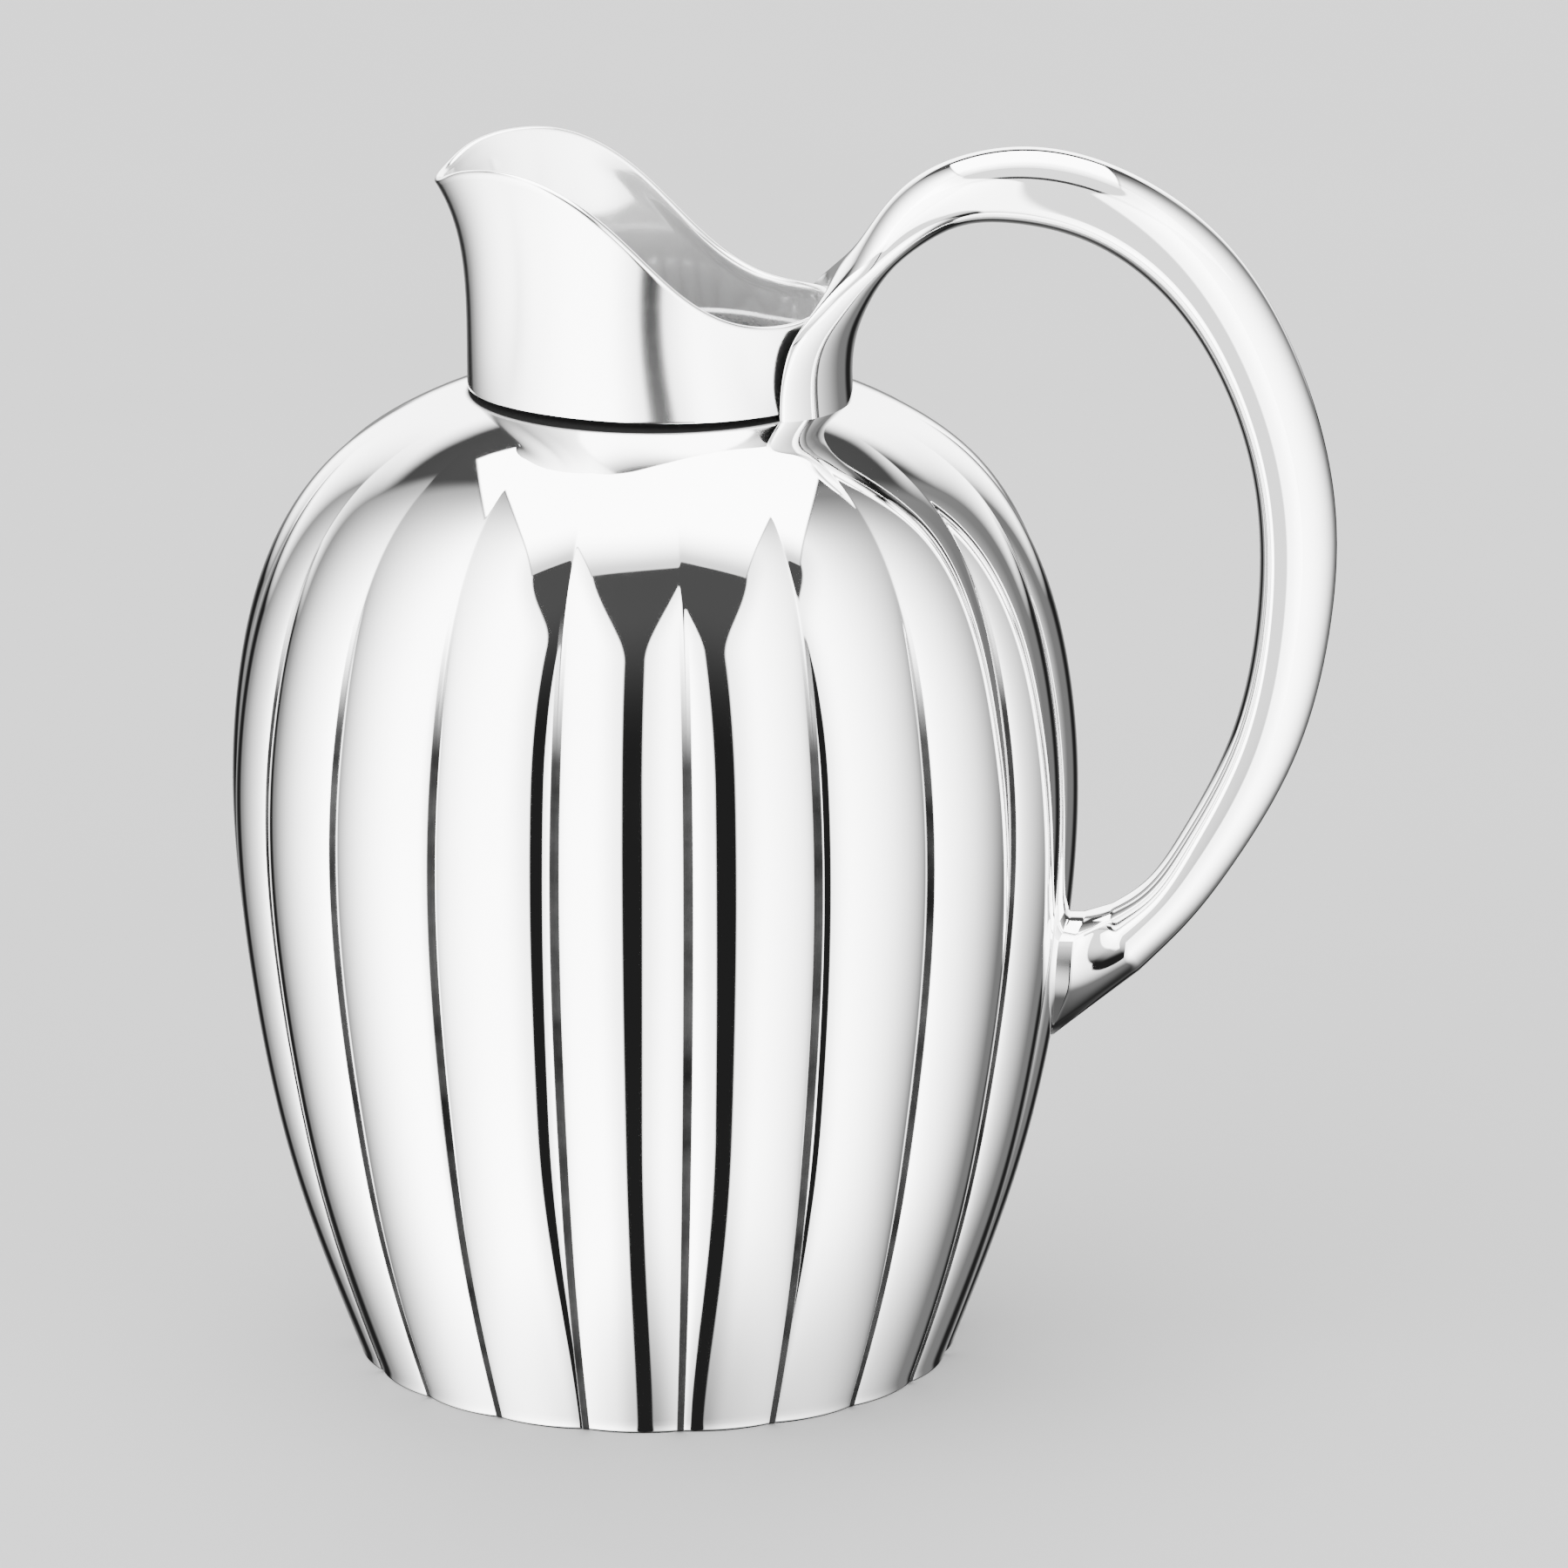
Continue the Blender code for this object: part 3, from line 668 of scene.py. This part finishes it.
def handle_grid():
    """Handle surface as a grid of stations by angles, and where its pieces meet."""
    rows = np.array(HANDLE_ROWS)
    knots = chord_knots((rows[:, 0:2] + rows[:, 2:4]) / 2.0)
    where = np.linspace(0.0, knots[-1], HANDLE_STATIONS)
    data = spline_at(knots, rows, where)
    angles = 2.0 * np.pi * np.arange(HANDLE_STEPS) / HANDLE_STEPS
    outer, inner = data[:, 0:2], data[:, 2:4]
    half_width, wrap, squareness, widest = (data[:, i:i + 1] for i in range(4, 8))
    power = 2.0 / squareness
    along = np.sign(np.cos(angles)) * np.abs(np.cos(angles)) ** power
    across = np.sign(np.sin(angles)) * np.abs(np.sin(angles)) ** power
    along = widest + np.where(along > 0.0, (1.0 - widest) * along, widest * along)
    thick = outer - inner
    y = half_width * across
    x = inner[:, :1] + thick[:, :1] * along - wrap * collar_bend(y)
    z = inner[:, 1:] + thick[:, 1:] * along
    grid = np.stack([x, y, z], axis=-1)
    joints = [int(np.searchsorted(where, knots[row])) for row in (ROOT_LAST_ROW, TUBE_LAST_ROW)]
    return grid, joints


def shield_ring(lift):
    """Shield outline on the body's lobe, lifted off it, with the point down."""
    angles = 2.0 * np.pi * np.arange(HANDLE_STEPS) / HANDLE_STEPS
    centre = (SHIELD_HIGH_Z + SHIELD_LOW_Z) / 2.0
    half = (SHIELD_HIGH_Z - SHIELD_LOW_Z) / 2.0
    z = centre - half * np.cos(angles)
    height = (z - SHIELD_LOW_Z) / (SHIELD_HIGH_Z - SHIELD_LOW_Z)
    taper = np.sin(np.clip(height * SHIELD_TAPER, 0.0, 1.0) * np.pi / 2.0)
    across = np.minimum(1.0, np.abs(np.sin(angles)) * SHIELD_SQUARENESS)
    y = SHIELD_HALF_WIDTH * taper * np.sign(np.sin(angles)) * across
    radius = body_radius(z)
    around = y / radius
    reach = radius - lobe_drop(around, z) + lift * smooth_step(height * SHIELD_RISE)
    return np.stack([reach * np.cos(around), y, z], axis=-1)


def foot_grid(last_ring):
    """From the handle's last section out to the shield and back to the body."""
    face = shield_ring(SHIELD_THICKNESS)
    flare = []
    for i in range(1, FLARE_ROWS):
        share = i / FLARE_ROWS
        ring = last_ring + (face - last_ring) * share
        ring[:, 1] = last_ring[:, 1] + (face[:, 1] - last_ring[:, 1]) * share ** FLARE_POWER
        flare.append(ring)
    edge = [shield_ring(SHIELD_THICKNESS - depth) for depth in SHIELD_EDGE_DEPTHS]
    return np.array(flare + edge + [shield_ring(-SHIELD_SINK)])


def grid_normals(grid):
    """Smooth outward normals at the points of a ring grid."""
    down = np.gradient(grid, axis=0)
    wrapped = np.concatenate([grid[:, -1:], grid, grid[:, :1]], axis=1)
    around = (wrapped[:, 2:] - wrapped[:, :-2]) / 2.0
    normal = np.cross(around, down)
    normal /= np.maximum(np.linalg.norm(normal, axis=2), 1e-9)[..., None]
    outward = grid - grid.mean(axis=1, keepdims=True)
    sign = np.sign((normal * outward).sum(axis=(1, 2)))
    return normal * sign[:, None, None]


def capped_tube(name, grid, normals, material):
    """Solid piece of the handle: a closed ring grid with flat ends."""
    faces = capped_faces(*grid.shape[:2])
    return make_object(name, grid.reshape(-1, 3), faces, material, normals.reshape(-1, 3), 180.0)


def half_tube(name, grid, normals, columns, material):
    """One pressed half of the hollow handle, closed along its joint faces and ends."""
    outer = grid[:, columns]
    inner = outer - normals[:, columns] * WALL
    ring = np.concatenate([outer, inner[:, ::-1]], axis=1)
    shade = np.concatenate([normals[:, columns], -normals[:, columns][:, ::-1]], axis=1)
    faces = capped_faces(*ring.shape[:2])
    return make_object(name, ring.reshape(-1, 3), faces, material, shade.reshape(-1, 3), 180.0)


def make_handle(material):
    """Root, two hollow halves and foot, cut from one smooth surface."""
    grid, (tube_start, tube_stop) = handle_grid()
    foot = foot_grid(grid[-1])
    flared = FLARE_ROWS - 1
    smooth_part = np.concatenate([grid, foot[:flared + 1]])
    normals = grid_normals(smooth_part)
    half = HANDLE_STEPS // 2
    root = capped_tube("handle_root_skin", smooth_part[:tube_start + 1], normals[:tube_start + 1], material)
    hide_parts("handle_root")
    tube = smooth_part[tube_start:tube_stop + 1]
    tube_normals = normals[tube_start:tube_stop + 1]
    right_columns = list(range(half + 1))
    left_columns = list(range(half, HANDLE_STEPS)) + [0]
    right = half_tube("handle_right_skin", tube, tube_normals, right_columns, material)
    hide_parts("handle_right_shell")
    left = half_tube("handle_left_skin", tube, tube_normals, left_columns, material)
    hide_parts("handle_left_shell")
    lower = np.concatenate([smooth_part[tube_stop:], foot[flared + 1:]])
    faces = capped_faces(len(lower), HANDLE_STEPS)
    end = make_object("handle_foot_skin", lower.reshape(-1, 3), faces, material, None, 40.0)
    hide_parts("handle_foot")
    return root, right, left, end


def make_patch(material):
    """Curved backing patch on the inner wall behind the foot, with rounded corners."""
    rings = []
    columns = 48
    angles = 2.0 * np.pi * np.arange(columns) / columns
    for share, depth in ((0.02, 0.0), (0.5, 0.0), (0.94, 0.0), (1.0, 0.3), (1.0, 0.7), (0.94, 1.0),
                         (0.5, 1.0), (0.02, 1.0)):
        corner = np.abs(np.cos(angles)) ** 4 + np.abs(np.sin(angles)) ** 4
        size = share / corner ** 0.25
        y = PATCH_HALF_WIDTH * np.sin(angles) * size
        z = PATCH_CENTRE_Z + PATCH_HALF_HEIGHT * np.cos(angles) * size
        radius = body_radius(z)
        around = y / radius
        reach = radius - lobe_drop(around, z) - WALL - PATCH_GAP - depth
        rings.append(np.stack([reach * np.cos(around), y, z], axis=-1))
    patch = make_object("foot_patch_skin", np.concatenate(rings), capped_faces(len(rings), columns), material)
    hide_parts("foot_backing_patch")
    return patch


# ---------------------------------------------------------------- stage, light and camera
# lengths are in metres and angles in degrees from here on
FLOOR_HALF = 6.0
FLOOR_DARK = (0.235, 0.235, 0.235, 1.0)
FLOOR_LIGHT = (0.255, 0.255, 0.255, 1.0)

CAMERA_AZIMUTH = 4.6               # from the -Y axis towards the handle
CAMERA_DISTANCE = 1.6082           # from the pitcher's axis, along the floor
CAMERA_HEIGHT = 0.5608
CAMERA_PITCH = 15.92
CAMERA_YAW = 0.81
FOCAL_SHARE = 6.0640               # focal length as a multiple of the picture's width
SENSOR = 36.0

CARD_Y = -0.325
CARDS = [(-0.06, 0.34, -0.35, 0.452), (-0.35, 0.75, 0.498, 1.40)]  # left, right, low, high
CARD_LIGHT = 2.0
CARD_FADE = (-0.20, 0.04)          # the lower card fades in between these heights

# the light tent; azimuths count from the camera's side
FRONT_GAP = (-8.0, 10.0)           # dark between these azimuths
GAP_SPREAD = (28.0, 62.0)          # elevations between which the gap widens
GAP_SPREAD_BY = 42.0
EDGE_HALF = 1.2                    # half width of a side panel's crisp edge
EDGE_CLIMB = 26.0                  # beyond it the panel climbs to its full brightness over this angle
PANEL_LIGHT = 11.0
RIGHT_SHARE = 0.9
LEFT_FADE = (45.0, 175.0)          # azimuths over which a side panel fades
RIGHT_FADE = (20.0, 165.0)
LEFT_REST = 0.03                   # share of its light that stays
RIGHT_REST = 0.02
LEFT_LOW_FADE = (45.0, 68.0)       # and it fades between these angles below the horizon
RIGHT_LOW_FADE = (35.0, 66.0)
LOW_LOSS = 0.98
PANELS_END = (142.0, 150.0)        # azimuths where the side panels end behind the pitcher
PANELS_LEAN = 8.0                  # how much sooner they end high up
LEAN_RISE = (5.0, 40.0)            # elevations between which that comes in
OVERHEAD_LIGHT = 12.0
OVERHEAD_FRONT = 0.49              # how far the overhead panel reaches, as shares of its height
OVERHEAD_SIDE = 0.5
OVERHEAD_BACK = 0.9
OVERHEAD_EDGE = (0.985, 1.015)     # its soft edge, as shares of its reach
SIDES_FROM = (1.00, 1.04)          # the side panels' inner edge, likewise
OVERHEAD_FRONT_FADE = (0.10, 0.95)
OVERHEAD_FRONT_LOSS = 0.86
BACKDROP_LIGHT = 7.0
BACKDROP_FOOT = (-6.0, 2.0)
BACKDROP_TOP = (28.0, 36.0)
BACKDROP_SIDES = (135.0, 165.0)
BACK_FILL_LIGHT = 0.35             # weaker light under the backdrop
BACK_FILL_FOOT = (-60.0, -20.0)
BACK_FILL_SIDES = (156.0, 172.0)
DARK_LIGHT = 0.020                 # stray light in the gaps
DARK_LIGHT_ABOVE = 0.07            # and what is added to it high up
DARK_RISE = (5.0, 45.0)


def make_camera():
    azimuth = math.radians(CAMERA_AZIMUTH)
    data = bpy.data.cameras.new("camera")
    data.sensor_width = SENSOR
    data.lens = SENSOR * FOCAL_SHARE
    camera = bpy.data.objects.new("camera", data)
    camera.location = (CAMERA_DISTANCE * math.sin(azimuth),
                       -CAMERA_DISTANCE * math.cos(azimuth), CAMERA_HEIGHT)
    camera.rotation_euler = (math.radians(90.0 - CAMERA_PITCH), 0.0, azimuth - math.radians(CAMERA_YAW))
    bpy.context.scene.collection.objects.link(camera)
    bpy.context.scene.camera = camera


def stage_sheet(name, points, faces, material):
    """A flat stage object that is linked into the scene."""
    mesh = bpy.data.meshes.new(name)
    mesh.from_pydata(points, [], faces)
    mesh.materials.append(material)
    sheet = bpy.data.objects.new(name, mesh)
    bpy.context.scene.collection.objects.link(sheet)
    return sheet


def make_floor():
    material, nodes, links = new_material("studio_floor")
    shader = nodes["Principled BSDF"]
    shader.inputs["Roughness"].default_value = 0.9
    grain = noise(nodes, links, 6.0, 3.0, object_position(nodes))
    links.new(tinted(nodes, links, grain, FLOOR_DARK, FLOOR_LIGHT), shader.inputs["Base Color"])
    h = FLOOR_HALF
    corners = [(-h, -h, 0.0), (h, -h, 0.0), (h, h, 0.0), (-h, h, 0.0)]
    floor = stage_sheet("floor", corners, [(0, 1, 2, 3)], material)
    floor.visible_glossy = False


def make_reflector(handle_pieces):
    """A pair of see-through white cards that only the handle mirrors, with a slit between them."""
    material, nodes, links = new_material("reflector_net")
    nodes.remove(nodes["Principled BSDF"])
    graph = GraphMath(nodes, links)
    cloth = noise(nodes, links, 3.0, 2.0, object_position(nodes))
    cloth = spread(nodes, links, cloth, CARD_LIGHT * 0.95, CARD_LIGHT)
    height = object_axes(nodes, links)[2]
    glow = nodes.new("ShaderNodeEmission")
    links.new(graph.product(cloth, graph.ramp(height, *CARD_FADE)), glow.inputs["Strength"])
    both = nodes.new("ShaderNodeAddShader")
    links.new(glow.outputs["Emission"], both.inputs[0])
    links.new(nodes.new("ShaderNodeBsdfTransparent").outputs["BSDF"], both.inputs[1])
    links.new(both.outputs["Shader"], nodes["Material Output"].inputs["Surface"])
    points = []
    faces = []
    for left, right, low, high in CARDS:
        faces.append(tuple(range(len(points), len(points) + 4)))
        points += [(left, CARD_Y, low), (right, CARD_Y, low), (right, CARD_Y, high), (left, CARD_Y, high)]
    card = stage_sheet("reflector", points, faces, material)
    card.visible_camera = False
    card.visible_diffuse = False
    card.visible_shadow = False
    lit = bpy.data.collections.new("lit_by_reflector")
    for piece in handle_pieces:
        lit.objects.link(piece)
    card.light_linking.receiver_collection = lit


def tent_axes(sky):
    """Sideways, forward and upward parts of a direction, as seen from the camera's side."""
    direction = sky.nodes.new("ShaderNodeTexCoord").outputs["Generated"]
    turned_to_camera = sky.nodes.new("ShaderNodeVectorRotate")
    turned_to_camera.rotation_type = "Z_AXIS"
    turned_to_camera.inputs["Angle"].default_value = -math.radians(CAMERA_AZIMUTH)
    sky.links.new(direction, turned_to_camera.inputs["Vector"])
    split = sky.nodes.new("ShaderNodeSeparateXYZ")
    sky.links.new(turned_to_camera.outputs["Vector"], split.inputs["Vector"])
    x, y, z = split.outputs
    return x, sky.product(y, -1.0), z


def overhead_panel(sky, x, forward, z):
    """The light of the panel overhead, and where it leaves room for the side panels."""
    height = sky.math("MAXIMUM", z, 0.001)
    front_share = sky.math("DIVIDE", forward, sky.product(height, OVERHEAD_FRONT))
    back_share = sky.math("DIVIDE", forward, sky.product(height, -OVERHEAD_BACK))
    side_share = sky.math("DIVIDE", sky.math("ABSOLUTE", x), sky.product(height, OVERHEAD_SIDE))
    reach = sky.math("MAXIMUM", sky.math("MAXIMUM", front_share, back_share), side_share)
    dimming = sky.dimmed(front_share, *OVERHEAD_FRONT_FADE, OVERHEAD_FRONT_LOSS)
    light = sky.product(sky.below(reach, *OVERHEAD_EDGE), dimming, OVERHEAD_LIGHT)
    return light, sky.ramp(reach, *SIDES_FROM)


def side_panel(sky, past_gap, start, away, fade, rest, below_horizon, low_fade):
    """Share of light of one side panel: a crisp front edge, a slower climb, then a long fade."""
    crisp = sky.product(sky.ramp(past_gap, start - EDGE_HALF, start + EDGE_HALF), 0.5)
    slow = sky.product(sky.ramp(past_gap, start, start + EDGE_CLIMB), 0.5)
    fading = sky.math("MAXIMUM", sky.math("POWER", sky.below(away, *fade), 2.0), rest)
    return sky.product(sky.math("ADD", crisp, slow), fading, sky.dimmed(below_horizon, *low_fade, LOW_LOSS))


def side_panels(sky, azimuth, elevation, away):
    """Light of the two tall panels, which part further high up."""
    widening = sky.product(sky.ramp(elevation, *GAP_SPREAD), GAP_SPREAD_BY)
    low = sky.product(elevation, -1.0)
    past_left = sky.product(sky.math("ADD", azimuth, widening), -1.0)
    past_right = sky.math("SUBTRACT", azimuth, widening)
    left = side_panel(sky, past_left, -FRONT_GAP[0], away, LEFT_FADE, LEFT_REST, low, LEFT_LOW_FADE)
    right = side_panel(sky, past_right, FRONT_GAP[1], away, RIGHT_FADE, RIGHT_REST, low, RIGHT_LOW_FADE)
    both = sky.math("ADD", left, sky.product(right, RIGHT_SHARE))
    lean = sky.product(sky.ramp(elevation, *LEAN_RISE), PANELS_LEAN)
    return sky.product(both, sky.below(sky.math("ADD", away, lean), *PANELS_END), PANEL_LIGHT)


def backdrop(sky, elevation, away):
    """Bright strip behind the pitcher with weaker light below it."""
    strip = sky.product(sky.ramp(elevation, *BACKDROP_FOOT), sky.below(elevation, *BACKDROP_TOP),
                        sky.ramp(away, *BACKDROP_SIDES), BACKDROP_LIGHT)
    fill = sky.product(sky.ramp(elevation, *BACK_FILL_FOOT), sky.below(elevation, *BACKDROP_FOOT),
                       sky.ramp(away, *BACK_FILL_SIDES), BACK_FILL_LIGHT)
    return sky.math("MAXIMUM", strip, fill)


def make_world():
    """A light tent: tall panels left and right, one overhead, and dark gaps between them."""
    world = bpy.data.worlds.new("light_tent")
    bpy.context.scene.world = world
    world.use_nodes = True
    sky = GraphMath(world.node_tree.nodes, world.node_tree.links)
    x, forward, z = tent_axes(sky)
    azimuth = sky.math("DEGREES", sky.math("ARCTAN2", x, forward))
    away = sky.math("ABSOLUTE", azimuth)
    elevation = sky.math("DEGREES", sky.math("ARCSINE", z))
    over, outside = overhead_panel(sky, x, forward, z)
    sides = sky.product(side_panels(sky, azimuth, elevation, away), outside)
    lit = sky.math("MAXIMUM", sky.math("MAXIMUM", sides, backdrop(sky, elevation, away)), over)
    stray = sky.math("ADD", sky.product(sky.ramp(elevation, *DARK_RISE), DARK_LIGHT_ABOVE), DARK_LIGHT)
    background = sky.nodes["Background"]
    sky.links.new(sky.math("ADD", lit, stray), background.inputs["Strength"])
    background.inputs["Color"].default_value = (1.0, 1.0, 1.0, 1.0)


# ---------------------------------------------------------------- assembly
def build():
    """Make every piece with its material, give it its body, and set the stage."""
    polished = "polished_metal"
    upright = (320.0, 320.0, 6.0)    # directions of the hairlines
    around = (3.0, 3.0, 260.0)
    along = (14.0, 300.0, 14.0)
    body_metal, nodes, links = polished_metal("polished_body", upright, MIRROR_HAZE)
    satin_inside(nodes, links)
    # painted shade in the body's grooves and under the collar
    paint_groove_and_seam_shade(nodes, links)
    collar_metal, nodes, links = polished_metal("polished_collar", around, SOFT_HAZE)
    satin_inside(nodes, links)
    handle_metal, nodes, links = polished_metal("polished_handle", along, MIRROR_HAZE)
    # painted shade in the corner of the handle's root
    paint_root_corner_shade(nodes, links)
    turned_base = satin_metal("turned_base", (0.66, 0.66, 0.67, 1.0), (0.76, 0.76, 0.77, 1.0), True)
    inner = satin_metal("inner_satin", (0.56, 0.56, 0.57, 1.0), (0.68, 0.68, 0.69, 1.0), False)
    filler = satin_metal("filler", (0.68, 0.66, 0.60, 1.0), (0.80, 0.78, 0.72, 1.0), False)
    pieces = [(make_body(body_metal), polished), (make_collar(collar_metal), polished)]
    handle_pieces = make_handle(handle_metal)
    pieces += [(piece, polished) for piece in handle_pieces]
    plate, base_bead = make_base(turned_base, filler)
    sleeve, neck_bead = make_neck_rings(inner, filler)
    pieces += [(plate, "base_metal"), (base_bead, "filler_metal"), (sleeve, "inner_metal"),
               (neck_bead, "filler_metal"), (make_patch(inner), "inner_metal")]
    for piece, slot in pieces:
        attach(piece, "root")
    make_floor()
    make_reflector(handle_pieces)
    make_world()
    make_camera()


build()
